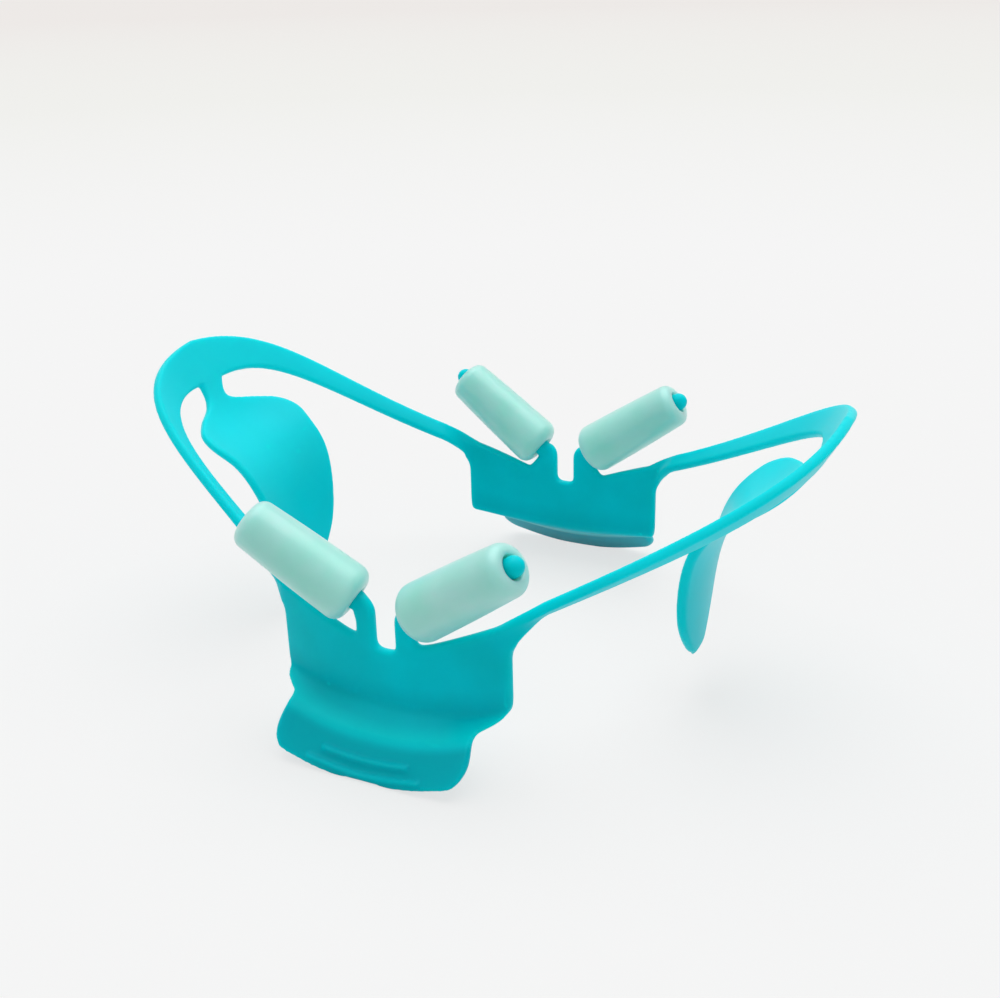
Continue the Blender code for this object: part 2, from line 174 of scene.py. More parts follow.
def blend(factor, a, b):
    """Mix of two colours by a wire."""
    return factor.node("ShaderNodeMix", {"data_type": "RGBA"}, {0: factor, 6: a, 7: b}, output=2)


# %% [markdown]
# A Geometry Nodes tree gets named inputs for its sizes, so it can be tried out
# with other sizes later. The modifier wants each input by its identifier, and
# it wants them before the object is first evaluated. What comes out is turned
# into a plain mesh, and the helper object goes.

# %% Build and run a Geometry Nodes tree
SOCKETS = {"mesh": "NodeSocketGeometry", "size": "NodeSocketFloat", "count": "NodeSocketInt",
           "vector": "NodeSocketVector", "material": "NodeSocketMaterial"}


def new_tree(name, inputs):
    """Empty geometry tree with named inputs, and a wire for each of them."""
    tree = bpy.data.node_groups.new(name, "GeometryNodeTree")
    for label, kind in inputs.items():
        tree.interface.new_socket(label, in_out="INPUT", socket_type=SOCKETS[kind])
    tree.interface.new_socket("Mesh", in_out="OUTPUT", socket_type=SOCKETS["mesh"])
    first = tree.nodes.new("NodeGroupInput")
    return tree, {label: Wire(tree, first.outputs[label]) for label in inputs}


def end_tree(tree, geometry, material):
    """Close a tree with Realize Instances and Set Material."""
    real = geometry.node("GeometryNodeRealizeInstances", inputs={"Geometry": geometry})
    dressed = real.node("GeometryNodeSetMaterial", inputs={"Geometry": real, "Material": material})
    dressed.node("NodeGroupOutput", inputs={"Mesh": dressed})


def plain_mesh(bm, name):
    """Mesh from a bmesh, which is then freed."""
    mesh = bpy.data.meshes.new(name)
    bm.to_mesh(mesh)
    bm.free()
    return mesh


def evaluated_mesh(helper):
    """Plain mesh of a helper object as its modifiers leave it. The helper goes."""
    made = bpy.data.meshes.new_from_object(
        helper.evaluated_get(bpy.context.evaluated_depsgraph_get()))
    helper.modifiers.clear()
    bpy.data.objects.remove(helper, do_unlink=True)
    return made


def run_tree(tree, mesh, values):
    """Plain mesh that a tree makes from a base mesh and its named values."""
    helper = new_object("helper", mesh)
    modifier = helper.modifiers.new("tree", "NODES")
    modifier.node_group = tree
    for item in tree.interface.items_tree:
        if item.in_out == "INPUT" and item.name in values:
            modifier[item.identifier] = values[item.name]
    return evaluated_mesh(helper)


# %% [markdown]
# ## Turquoise plastic
#
# The frame is injection moulded from a springy plastic. It is glossy but not
# perfect: the melt leaves faint clouds of tone and long flow waves, and the steel
# of the mould leaves a very fine grain. Clouds, waves and grain are noise on
# Object coordinates, so they stay on the piece in every view. Light passes
# through the sheet as subsurface scattering, set once for the whole surface, and
# the outer edges get a painted highlight on top of it.


# %% Helpers for materials
def new_material(name):
    """Material, a wire with the place on the object, and the Principled node."""
    material = bpy.data.materials.new(name)
    material.use_nodes = True
    tree = material.node_tree
    place = Wire(tree).node("ShaderNodeTexCoord", output="Object")
    return material, place, tree.nodes["Principled BSDF"]


def feed(shader, name, wire):
    """Link a wire to a socket of the Principled node."""
    wire.tree.links.new(wire.socket, shader.inputs[name])


def settle(shader, values):
    """Give sockets of the Principled node their fixed values."""
    for name, value in values.items():
        shader.inputs[name].default_value = value


def cloud(place, size, detail=2.0, roughness=0.5):
    """Noise of a given patch size in metres, from 0 to 1."""
    return place.node("ShaderNodeTexNoise", inputs={
        "Vector": place, "Scale": 1.0 / size, "Detail": detail, "Roughness": roughness})


# %% [markdown]
# Light and shade are also painted into the colour by place. The slim bands and
# the blades get a painted glow of backlight, a painted highlight runs along the
# top of each lip, and painted shade darkens the lip below it and the fold above
# it. Lips and folds rise to the sides like a smile, and these lines follow the
# same rise.

# %% A plastic with clouds, waves, grain, and painted light and shade by place
LIP_SMILE = 11.5  # rise of a lip to the sides, per metre of width squared
FOLD_SMILE = 5.8  # rise of the fold above it, same unit
BACKLIT_BANDS = (24 * MM, 14 * MM)  # width from which the bands get a painted glow of backlight, and the run
ON_SHIELD = (27 * MM, 4 * MM)  # depth where a shield's painted highlight and shade start, and the run
LIP_SHADE = (4.5 * MM, 0.9 * MM)  # height below which a lip gets painted shade, and the run
RIDGE = (5.1 * MM, 1.1 * MM)  # height and reach of the painted highlight along the top of a lip
CREASE = (8.6 * MM, 2.6 * MM)  # height and reach of the painted shade in the fold
HIGHLIGHT_POINTINESS = 0.54  # 0.5 is flat; more is an outer edge, which gets a painted highlight
PLASTIC_DEEP = (0.0, 0.610, 0.680, 1.0)
PLASTIC_CLEAR = (0.0, 0.680, 0.770, 1.0)
# painted highlight, on outer edges and along the top of each lip
PLASTIC_PAINTED_HIGHLIGHT = (0.0, 0.800, 0.840, 1.0)
# painted shade, on the lower lip and in the fold above it
PLASTIC_PAINTED_SHADE = (0.0, 0.530, 0.620, 1.0)
# painted backlight, a lighter glow where light shines through from behind
PLASTIC_PAINTED_BACKLIGHT = (0.01, 0.840, 0.950, 1.0)

plastic, place, shader = new_material("turquoise_plastic")
tone = cloud(place, 14 * MM, detail=3.0)
melt = cloud(place, 5 * MM, detail=1.0)
grain = cloud(place, 0.30 * MM, detail=2.0, roughness=0.7)
pointed = place.node("ShaderNodeNewGeometry", output="Pointiness")
# painted highlight on outer edges, found from their pointiness
edge = clamp((pointed - HIGHLIGHT_POINTINESS) * 9.0)
spot = place.node("ShaderNodeSeparateXYZ", inputs={0: place})
width, depth = absolute(spot), absolute(spot.beside("Y"))
height = spot.beside("Z") - LIP_SMILE * width * width
bend = spot.beside("Z") - FOLD_SMILE * width * width
on_shield = clamp((depth - ON_SHIELD[0]) / ON_SHIELD[1])
# painted backlight on the bands and blades out at the sides
painted_backlight = clamp((width - BACKLIT_BANDS[0]) / BACKLIT_BANDS[1])
# painted shade on the lip below its top
lip = clamp((LIP_SHADE[0] - height) / LIP_SHADE[1])
# painted highlight along the top of each lip
painted_ridge_highlight = stripe(height, *RIDGE)
# painted shade in the fold above the lip
painted_crease_shade = stripe(bend, *CREASE)
colour = blend(clamp((tone - 0.35) * 3.0), PLASTIC_DEEP, PLASTIC_CLEAR)
# painted backlight on the bands and blades
colour = blend(painted_backlight * 0.5, colour, PLASTIC_PAINTED_BACKLIGHT)
# painted shade on the lips and in the folds of the shields
colour = blend(on_shield * clamp(lip + 0.45 * painted_crease_shade), colour, PLASTIC_PAINTED_SHADE)
# painted highlight along the top of each lip
colour = blend(on_shield * painted_ridge_highlight * 0.6, colour, PLASTIC_PAINTED_HIGHLIGHT)
# the painted highlight on outer edges goes on last
feed(shader, "Base Color", blend(edge * 0.5, colour, PLASTIC_PAINTED_HIGHLIGHT))
feed(shader, "Roughness", 0.26 + 0.10 * tone + 0.05 * grain)
waves = place.node("ShaderNodeBump", inputs={
    "Strength": 0.10, "Distance": 0.3 * MM, "Height": melt})
skin = place.node("ShaderNodeBump", inputs={
    "Strength": 0.12, "Distance": 0.02 * MM, "Height": grain, "Normal": waves})
feed(shader, "Normal", skin)
settle(shader, {"IOR": 1.40, "Specular IOR Level": 0.08, "Subsurface Weight": 1.0,
                "Subsurface Radius": (0.05, 1.0, 1.0), "Subsurface Scale": 2.2 * MM})
print("turquoise plastic:", len(plastic.node_tree.nodes), "nodes")

# %% [markdown]
# ## Mint silicone
#
# The sleeves are soft silicone, paler and duller than the frame. Silicone is
# cloudy, so light spreads inside it and the shadows on it stay bright. Its
# skin is slightly frosted, and handling leaves broad soft marks in its gloss.

# %% A frosted silicone
MINT_DEEP = (0.34, 0.87, 0.74, 1.0)
MINT_PALE = (0.45, 0.91, 0.81, 1.0)

silicone, place, shader = new_material("mint_silicone")
milk = cloud(place, 6 * MM, detail=2.0)
marks = cloud(place, 3 * MM, detail=4.0)
frost = cloud(place, 0.22 * MM, detail=2.0, roughness=0.6)
feed(shader, "Base Color", blend(clamp((milk - 0.3) * 2.4), MINT_DEEP, MINT_PALE))
feed(shader, "Roughness", 0.34 + 0.14 * marks + 0.05 * frost)
skin = place.node("ShaderNodeBump", inputs={
    "Strength": 0.22, "Distance": 0.03 * MM, "Height": frost + 0.6 * marks})
feed(shader, "Normal", skin)
settle(shader, {"IOR": 1.45, "Subsurface Weight": 1.0,
                "Subsurface Radius": (0.7, 1.0, 0.9), "Subsurface Scale": 3.5 * MM,
                "Coat Weight": 0.9, "Coat Roughness": 0.30,
                "Sheen Weight": 0.30, "Sheen Roughness": 0.45})
print("mint silicone:", len(silicone.node_tree.nodes), "nodes")

# %% [markdown]
# ## The lip shields
#
# A lip shield is a sheet 1.5 mm thick. Seen from the side it stands upright,
# turns out at a fold and runs down to the lip that rests on the floor. Seen
# from above it bends back towards the cheeks. A slab cut with a Boolean would
# have knife edges where the lip slopes. So the front view is drawn once, laid
# flat and lifted to the outer and to the inner face, and a half round rim
# joins the two, as on a moulding. Everything is drawn for the quarter at +X
# and +Y, and mirrored to the others.

# %% Sizes of the lip shields
SHIELD_DISTANCE = 33.2 * MM  # middle of a shield from the centre, at the notch
SHIELD_THICKNESS = 1.5 * MM
SHIELD_BOW = 5.06  # inward bend to the sides, per metre of width squared
SHIELD_CURL = 8500  # stronger bend near the ends, per cubic metre
FLARE_GROWTH = 430  # the flare spreads further out near the ends
BODY_HALF_WIDTH = 17.9 * MM
WING_START = 10.6 * MM  # where the side of the body turns in to the lip
WING_BEND = (17.75 * MM, 8.75 * MM)
WING_ROUND = 1.7 * MM
WING_HEIGHT = 7.15 * MM  # lower edge of the body beside the lip
FOLD_HEIGHT = 7.2 * MM  # where the plain body turns out
FOLD_ROUND = 1.9 * MM
LIP_TOP = (4.46 * MM, 4.4 * MM)  # how far out and how high the lip starts
LIP_TOP_ROUND = 1.2 * MM
LIP_TOP_HALF_WIDTH = 14.3 * MM
LIP_FOOT_OUT = 8.55 * MM
LIP_FOOT_HEIGHT = 0.09 * MM
LIP_HALF_WIDTH = 15.4 * MM
LIP_CORNER = 2.7 * MM
LIP_FLAT = 4.0 * MM  # half of the straight run that the lip stands on
BODY_TOP_START = 7.0 * MM  # the sloping top edge beside the pegs
BODY_TOP_INNER = 18.1 * MM
BODY_TOP_SLOPE = 0.44


def shield_y(x):
    """Middle of the plain body of a shield at width x."""
    return SHIELD_DISTANCE - SHIELD_BOW * x ** 2 - SHIELD_CURL * x ** 4


def shield_point(x, out, z):
    """Point of a shield from its place in the centre section, bent to width x."""
    share = min(max((FOLD_HEIGHT - z) / (FOLD_HEIGHT - LIP_TOP[1]), 0.0), 1.0)
    smile = FOLD_SMILE + (LIP_SMILE - FOLD_SMILE) * share
    return Vector((x, shield_y(x) + out * (1 + FLARE_GROWTH * x * x), z + smile * x * x))


print("a shield is", round(2 * BODY_HALF_WIDTH / MM, 1), "mm wide")

# %% [markdown]
# A few tools do most of the drawing: arcs and rounded corners for outlines,
# more points on a long run, and a skin over a row of rings.


# %% Corners, runs and solids
def mirrored(point, sx, sy):
    """Send a point of the +X +Y quarter to another quarter."""
    return Vector((point[0] * sx, point[1] * sy, point[2]))


def arc(centre, radius, first, last, steps):
    """Points of an arc in a plane, angles in degrees."""
    angles = [math.radians(first + (last - first) * i / steps) for i in range(steps + 1)]
    return [Vector((centre[0] + radius * math.cos(a), centre[1] + radius * math.sin(a)))
            for a in angles]


def rounded_corner(before, corner, after, radius, steps):
    """Arc of a given radius that rounds the corner between two straight runs."""
    corner = Vector(corner)
    u = (Vector(before) - corner).normalized()
    v = (Vector(after) - corner).normalized()
    half = u.angle(v) / 2
    centre = corner + (u + v).normalized() * (radius / math.sin(half))
    a = corner + u * (radius / math.tan(half)) - centre
    b = corner + v * (radius / math.tan(half)) - centre
    turn = a.angle(b)
    shares = [i / steps for i in range(steps + 1)]
    return [centre + (a * math.sin((1 - f) * turn) + b * math.sin(f * turn)) / math.sin(turn)
            for f in shares]


def filled(points, step):
    """The same run of points with more between them, at most a step apart."""
    dense = []
    for a, b in zip(points, points[1:]):
        count = max(1, math.ceil((b - a).length / step))
        dense += [a.lerp(b, i / count) for i in range(count)]
    return dense + [points[-1]]


def closed_mesh(bm, name):
    """Mesh from the bmesh of a closed surface, with its faces turned outward."""
    bmesh.ops.recalc_face_normals(bm, faces=bm.faces)
    return plain_mesh(bm, name)


def solid(rings):
    """Mesh skinned over a row of equal rings, with a cap at each end."""
    bm = bmesh.new()
    rows = [[bm.verts.new(p) for p in ring] for ring in rings]
    for low, high in zip(rows, rows[1:]):
        for i in range(len(low)):
            j = (i + 1) % len(low)
            bm.faces.new((low[i], low[j], high[j], high[i]))
    bm.faces.new(rows[0])
    bm.faces.new(rows[-1])
    return closed_mesh(bm, "solid")


# %% [markdown]
# The side view of a shield is one line: down the body, round the fold, out to
# the lip and down to the foot. A place on the shield is then a width and a run
# down this line. An offset moves the place off the middle of the sheet, square
# to it, except near the foot, where it moves level so that the lip stands flat.

# %% Down the section of a shield
SECTION_TOP = 38 * MM  # well above the tabs
PLAIN_FOOT = 12 * MM  # the body is quite straight down to here
PAST_FOOT = 1.8  # the line runs on, this many times the lip's length
LEVEL_START = 3.0 * MM  # height at which offsets begin to turn level
LEVEL_RUN = 2.2 * MM


def shield_section(step=0.3 * MM):
    """Middle line of a shield at its centre, from top to foot, as (out, height)."""
    high = Vector((0.0, SECTION_TOP))
    fold = Vector((0.0, FOLD_HEIGHT))
    lip = Vector(LIP_TOP)
    foot = lip + Vector((LIP_FOOT_OUT - LIP_TOP[0], -LIP_TOP[1])) * PAST_FOOT
    middle = [high, Vector((0.0, PLAIN_FOOT))]
    middle += rounded_corner(high, fold, lip, FOLD_ROUND, 12)
    middle += rounded_corner(fold, lip, foot, LIP_TOP_ROUND, 10)
    return filled(middle + [foot], step)


SECTION = shield_section()
ALONG = [(SECTION[min(i + 1, len(SECTION) - 1)] - SECTION[max(i - 1, 0)]).normalized()
         for i in range(len(SECTION))]
RUNS = [0.0]
for a, b in zip(SECTION, SECTION[1:]):
    RUNS.append(RUNS[-1] + (b - a).length)


def shield_place(x, run, offset=0.0):
    """Point of a shield at width x, a run down its section, moved outward by an offset."""
    i = min(max(bisect.bisect(RUNS, run), 1), len(RUNS) - 1)
    share = (run - RUNS[i - 1]) / (RUNS[i] - RUNS[i - 1])
    spot = SECTION[i - 1].lerp(SECTION[i], share)
    along = ALONG[i - 1].lerp(ALONG[i], share).normalized()
    normal = Vector((-along.y, along.x))
    level = min(max((LEVEL_START - spot.y) / LEVEL_RUN, 0.0), 1.0)
    spot = spot + (normal - along * (normal.y / along.y * level)) * offset
    return shield_point(x, spot.x, spot.y)


def run_at(x, z, halvings=24):
    """Run down the section of what stands at height z at width x."""
    low, high = 0.0, RUNS[-1]
    for _ in range(halvings):
        middle = (low + high) / 2
        low, high = (middle, high) if shield_place(x, middle).z > z else (low, middle)
    return (low + high) / 2


print("a shield's section runs", round(RUNS[-1] / MM, 1), "mm in", len(SECTION), "points")

# %% [markdown]
# The outline has one fine detail: beside the centre notch a tab leans over and
# ends square to the peg it carries. The tab's corners are found from the line
# that its peg and sleeve share, so the three stay together. The real moulding
# isn't quite true, and three of the four sleeves start a little lower.

# %% Sleeve lines and tabs
SLEEVE_ROOT = Vector((4.5 * MM, SHIELD_DISTANCE - 0.1 * MM, 23.0 * MM))
SLEEVE_TIP = Vector((20.4 * MM, SHIELD_DISTANCE + 1.5 * MM, 33.3 * MM))
ROOT_DROPS = {(-1, -1): 0.0, (1, -1): 0.8 * MM, (-1, 1): 0.9 * MM, (1, 1): 0.6 * MM}
TAB_SHOULDER = 20.1 * MM  # height at which a tab turns to its peg
TAB_SHOULDER_RISE = 2.2 * MM
TAB_SHOULDER_ROUND = 2.4 * MM
TAB_GAP = 0.5 * MM  # between a tab and the end of its sleeve
TAB_HALF_WIDTH = 1.55 * MM  # at the peg
REAR_TAB_LOW_SIDE = 3.3 * MM  # the rear tabs are wider on their lower side
TAB_NECK_WIDTH = 2.8 * MM
TAB_NECK_ROUND = 1.2 * MM
TAB_FOOT_ROUND = 0.8 * MM
TAB_FOOT_SHARE = 0.96  # foot of the neck, as a share of the top edge's height
NOTCH_HALF_WIDTH = 1.7 * MM
NOTCH_FLOOR = 16.0 * MM
NOTCH_ROUND = 0.9 * MM


def sleeve_line(sx, sy):
    """Root, direction and length of the sleeve of a quarter, before it is mirrored."""
    root = SLEEVE_ROOT - Vector((0.0, 0.0, ROOT_DROPS[sx, sy]))
    return root, (SLEEVE_TIP - root).normalized(), (SLEEVE_TIP - root).length


def tab_outline(sx, sy):
    """Tab beside the notch: a neck that leans over and ends square to its peg."""
    root, axis, _ = sleeve_line(sx, sy)
    along = Vector((axis.x, axis.z)).normalized()
    across = Vector((-along.y, along.x))
    face = Vector((root.x, root.z)) - along * TAB_GAP
    low_side = REAR_TAB_LOW_SIDE if sy > 0 else TAB_HALF_WIDTH
    high = face + across * TAB_HALF_WIDTH
    low = face - across * low_side
    wall = Vector((NOTCH_HALF_WIDTH, TAB_SHOULDER))
    shoulder = wall + Vector((0.0, TAB_SHOULDER_RISE))
    bend = rounded_corner(wall, shoulder, high, TAB_SHOULDER_ROUND, 6)
    if low_side > TAB_HALF_WIDTH:  # a wide tab has no neck of its own
        return bend + [high, low]
    neck = wall + Vector((TAB_NECK_WIDTH, 0.0))
    foot = Vector((neck.x, TAB_FOOT_SHARE * BODY_TOP_INNER))
    start = Vector((BODY_TOP_START, BODY_TOP_INNER))
    inner = rounded_corner(low, neck, foot, TAB_NECK_ROUND, 5)
    inner += rounded_corner(neck, foot, start, TAB_FOOT_ROUND, 5)
    return bend + [high, low] + inner


print("a sleeve's line is", round(sleeve_line(1, 1)[2] / MM, 1), "mm long")

# %% [markdown]
# The whole outline starts at the notch floor, goes up round the tab, along the
# top edge and round the root of the arm, and comes down the side, round the
# wing and along the lip. Its height is then turned into a run down the side
# view, which lays the outline flat.

# %% Outline of a shield
ARM_ROOT = (16.1 * MM, 20.5 * MM)
ARM_WIDTH = 3.06 * MM
ARM_FILLET = 3.8 * MM  # rounds the corner between body and arm
EAR_REACH = 18.8 * MM  # the outline runs this far out under the arm
EAR_DIP = 0.3 * MM
LOWER_EDGE_SHARES = (1.0, 0.84, 0.72, 0.60, 0.48, 0.36)
LIP_CORNER_REACH = 1.6  # length that a lip's corner takes up, in corner radii


def ear_arc():
    """Arc that leads the side of a shield up into the lower edge of its arm."""
    slope = Vector((1.0, BODY_TOP_SLOPE)).normalized()
    low = Vector(ARM_ROOT) - Vector((-slope.y, slope.x)) * (ARM_WIDTH / 2)
    corner = low + slope * ((BODY_HALF_WIDTH - low.x) / slope.x)
    return rounded_corner(corner + slope, corner, corner - Vector((0.0, 1.0)), ARM_FILLET, 24)


def shield_outline(sx, sy):
    """Half of the front view of a shield, from the notch floor to the foot."""
    corner = (NOTCH_HALF_WIDTH - NOTCH_ROUND, NOTCH_FLOOR + NOTCH_ROUND)
    points = arc(corner, NOTCH_ROUND, -90, 0, 6)
    points += tab_outline(sx, sy)
    points.append(Vector((BODY_TOP_START, BODY_TOP_INNER)))
    ear_height = BODY_TOP_INNER + BODY_TOP_SLOPE * (EAR_REACH - BODY_TOP_START) - EAR_DIP
    points.append(Vector((EAR_REACH, ear_height)))
    points += [p for p in ear_arc() if p.x < EAR_REACH]
    side = Vector((LIP_TOP_HALF_WIDTH, WING_HEIGHT))
    points.append(Vector((BODY_HALF_WIDTH, WING_START)))
    points += rounded_corner(points[-1], WING_BEND, side, WING_ROUND, 8)
    lower = [Vector((x, LIP_FOOT_HEIGHT + LIP_SMILE * (x * x - LIP_FLAT ** 2)))
             for x in (f * LIP_HALF_WIDTH for f in LOWER_EDGE_SHARES)]
    points.append(side)
    points += rounded_corner(side, lower[0], lower[1], LIP_CORNER, 10)
    points += [p for p in lower[1:] if p.x < LIP_HALF_WIDTH - LIP_CORNER_REACH * LIP_CORNER]
    points.append(Vector((LIP_FLAT, LIP_FOOT_HEIGHT)))
    return points


def flat_outline(sy, step=0.25 * MM, rounds=5):
    """Closed outline of a shield laid flat, with its sharp corners eased."""
    closed = shield_outline(1, sy)
    closed += [Vector((-p.x, p.y)) for p in reversed(shield_outline(-1, sy))]
    points = filled(closed + [closed[0]], step)[:-1]
    for _ in range(rounds):
        points = [(points[i - 1] + points[i] * 2 + points[(i + 1) % len(points)]) / 4
                  for i in range(len(points))]
    return [Vector((p.x, -run_at(p.x, p.y))) for p in points]


outlines = {sy: flat_outline(sy) for sy in (-1, 1)}
print("points round the two outlines:", [len(o) for o in outlines.values()])

# %% [markdown]
# A constrained Delaunay triangulation fills the flat outline: it keeps every
# edge of the outline and uses a grid of points inside it. The outline is made
# a little larger first, because the smoothing at the end takes that much off.

# %% Points inside the outline
RIM_ROUND = 0.45 * MM  # how far the rim reaches in from the outline
RIM_STEPS = 6
SKIN_ALLOWANCE = 0.12 * MM
GRID = 0.45 * MM
GRID_MARGIN = 0.6 * GRID
GRID_COLUMNS = 45  # on either side of the centre
INSIDE_ONLY = 1  # keep just the triangles inside the outline
SAME_POINT = 1e-9


def inset(points, distance):
    """Closed outline moved inward by a distance."""
    moved = []
    for i, p in enumerate(points):
        along = (points[(i + 1) % len(points)] - points[i - 1]).normalized()
        moved.append(p + Vector((along.y, -along.x)) * distance)
    return moved


def crossings(points, z):
    """Widths at which an outline crosses a height, in order."""
    found = []
    for i, b in enumerate(points):
        a = points[i - 1]
        if (a.y < z) != (b.y < z):
            found.append(a.x + (b.x - a.x) * (z - a.y) / (b.y - a.y))
    return sorted(found)


def inner_grid(points):
    """Grid points that lie well inside an outline."""
    kept = []
    low, high = min(p.y for p in points), max(p.y for p in points)
    for r in range(1, int((high - low) / GRID)):
        z = low + r * GRID
        rows = [crossings(points, z + d) for d in (-GRID_MARGIN, 0.0, GRID_MARGIN)]
        spans = [list(zip(row[::2], row[1::2])) for row in rows]
        for c in range(-GRID_COLUMNS, GRID_COLUMNS + 1):
            x = (c + 0.5 * (r % 2)) * GRID
            if all(any(a + GRID_MARGIN < x < b - GRID_MARGIN for a, b in span) for span in spans):
                kept.append(Vector((x, z)))
    return kept


rims = {sy: inset(outlines[sy], -SKIN_ALLOWANCE) for sy in (-1, 1)}
edges = {sy: inset(rims[sy], RIM_ROUND) for sy in (-1, 1)}
grids = {sy: inner_grid(edges[sy]) for sy in (-1, 1)}
print("grid points in the two outlines:", [len(g) for g in grids.values()])


# %% Shields with half round rims
def shield(sy):
    """Mesh of one shield: two faces from the same triangles and a half round rim."""
    edge = edges[sy]
    points, _, triangles, origin, _, _ = mathutils.geometry.delaunay_2d_cdt(
        edge + grids[sy], [], [list(range(len(edge)))], INSIDE_ONLY, SAME_POINT)
    half = SHIELD_THICKNESS / 2
    bm = bmesh.new()
    rows = []
    for offset in (half, -half):
        verts = [bm.verts.new(mirrored(shield_place(p.x, -p.y, offset), 1, sy)) for p in points]
        for triangle in triangles:
            bm.faces.new([verts[i] for i in triangle])
        where = {first: verts[i] for i, sources in enumerate(origin) for first in sources}
        rows.append([where[i] for i in range(len(edge))])
    rim = [rows[0]]
    for k in range(1, RIM_STEPS):
        angle = math.pi * (0.5 - k / RIM_STEPS)
        rim.append([bm.verts.new(mirrored(shield_place(p.x, -p.y, half * math.sin(angle)), 1, sy))
                    for p in inset(rims[sy], RIM_ROUND * (1 - math.cos(angle)))])
    rim.append(rows[1])
    for upper, lower in zip(rim, rim[1:]):
        for i in range(len(edge)):
            bm.faces.new((upper[i - 1], upper[i], lower[i], lower[i - 1]))
    return closed_mesh(bm, "shield")


regions = [shield(-1), shield(1)]
print("faces of the two shields:", [len(m.polygons) for m in regions])

# %% [markdown]
# ## The grip ribs
#
# Two low ribs run along each lip and keep it from slipping. They follow a
# path, so Geometry Nodes sweep them: the path is a row of points on the lip's
# outer face, the radius falls to almost nothing at both ends, and a circle
# runs along it. Each rib is set by its height on the lip and by the widths at
# which it starts and ends, as seen from outside the shield.

# %% Ribs swept along the lips
RIB_RADIUS = 0.5 * MM
RIB_LEAST = 0.05  # radius left at a rib's ends, as a share
RIB_STEPS = 60
RIBS = ((1.75 * MM, -7.0 * MM, 6.4 * MM), (0.25 * MM, -9.0 * MM, 8.8 * MM))


def lip_point(x, height):
    """Outer face of a lip at width x and height above the foot."""
    share = (LIP_TOP[1] - height) / LIP_TOP[1]
    run = LIP_FOOT_OUT - LIP_TOP[0]
    normal = Vector((LIP_TOP[1], run)).normalized()
    lift = SHIELD_THICKNESS / 2
    return shield_point(x, LIP_TOP[0] + run * share + normal.x * lift, height + normal.y * lift)


paths = bmesh.new()
for sy in (-1, 1):
    for height, first, last in RIBS:
        widths = [first + (last - first) * i / RIB_STEPS for i in range(RIB_STEPS + 1)]
        row = [paths.verts.new(mirrored(lip_point(x, height), -sy, sy)) for x in widths]
        for a, b in zip(row, row[1:]):
            paths.edges.new((a, b))
path_mesh = plain_mesh(paths, "rib_paths")

rib_tree, port = new_tree("lip_ribs", {
    "Paths": "mesh", "Rib radius": "size", "End sharpness": "size", "Sides": "count",
    "Material": "material"})
wire = port["Paths"]
curves = wire.node("GeometryNodeMeshToCurve", inputs={"Mesh": wire})
middle = wire.node("GeometryNodeSplineParameter") * 2.0 - 1.0
taper = (1.0 - absolute(middle) ** port["End sharpness"]) ** 0.5
radius = taper.maths("MAXIMUM", taper, RIB_LEAST)
sized = curves.node("GeometryNodeSetCurveRadius", inputs={"Curve": curves, "Radius": radius})
circle = wire.node("GeometryNodeCurvePrimitiveCircle", inputs={
    "Resolution": port["Sides"], "Radius": port["Rib radius"]})
rods = sized.node("GeometryNodeCurveToMesh", inputs={
    "Curve": sized, "Profile Curve": circle, "Fill Caps": True})
end_tree(rib_tree, rods, port["Material"])
ribs = run_tree(rib_tree, path_mesh, {"Rib radius": RIB_RADIUS, "End sharpness": 6.0,
                                      "Sides": 12, "Material": plastic})
regions.append(ribs)
print("faces of the four ribs:", len(ribs.polygons))

# %% [markdown]
# ## The side bands and bows
#
# Each band leaves a shield as a narrow arm, rises, leans outward and widens
# into the bow. Its middle line is two cubic curves. At each step along them the
# band knows which way is up across its width and which way faces out, so a flat
# section with round edges can be set there and skinned.

# %% Sizes and directions of a band
BOW_REACH = 53.0 * MM  # middle of the band at the bow's tip
BOW_HEIGHT = 42.7 * MM
BOW_HANDLE = 0.596 * SHIELD_DISTANCE
ARM_START = Vector((22.33 * MM, SHIELD_DISTANCE - 4.99 * MM, 24.65 * MM))
ARM_LEAD = Vector((18.69 * MM, -8.52 * MM, 9.31 * MM))
ARM_ROOT_LEAD = 3.2 * MM
ARM_FREE_LEAD = 0.7 * ARM_ROOT_LEAD
ROOT_SINK = 0.25 * MM  # the arm starts a little under the top edge
BOW_WIDTH = 7.76 * MM
BOW_WIDTH_GROWTH = 2.26
BAND_THICKNESS = 1.5 * MM
ARM_FLARE = math.radians(52.0)  # how far the band leans out
BOW_FLARE = math.radians(28.8)
EDGE_RUN = 0.55  # reach of a band's round edge, in half thicknesses
EDGE_POWER = 0.45  # lower makes its two faces flatter


def bezier(points, t):
    """Point of a cubic curve."""
    u = 1 - t
    a, b, c, d = points
    return a * u ** 3 + b * (3 * u * u * t) + c * (3 * u * t * t) + d * t ** 3


def bezier_along(points, t):
    """Direction of a cubic curve."""
    u = 1 - t
    a, b, c, d = points
    return ((b - a) * (u * u) + (c - b) * (2 * u * t) + (d - c) * (t * t)).normalized()


def band_directions(along, flare):
    """Directions across the band's width (upward) and its thickness (outward)."""
    outward = Vector((-along.y, along.x, 0.0)).normalized()
    outward = -outward if outward.x < 0 else outward
    up = Vector((0.0, 0.0, 1.0)) * math.cos(flare) + outward * math.sin(flare)
    up = (up - along * up.dot(along)).normalized()
    face = along.cross(up).normalized()
    return up, (-face if face.dot(outward) < 0 else face)


print("a band widens from", round(ARM_WIDTH / MM, 1), "to", round(BOW_WIDTH / MM, 1), "mm")

# %% [markdown]
# The first curve carries the arm off the shield and its lower half is widened
# by the fillet between the two. The second one sweeps to the tip of the bow.


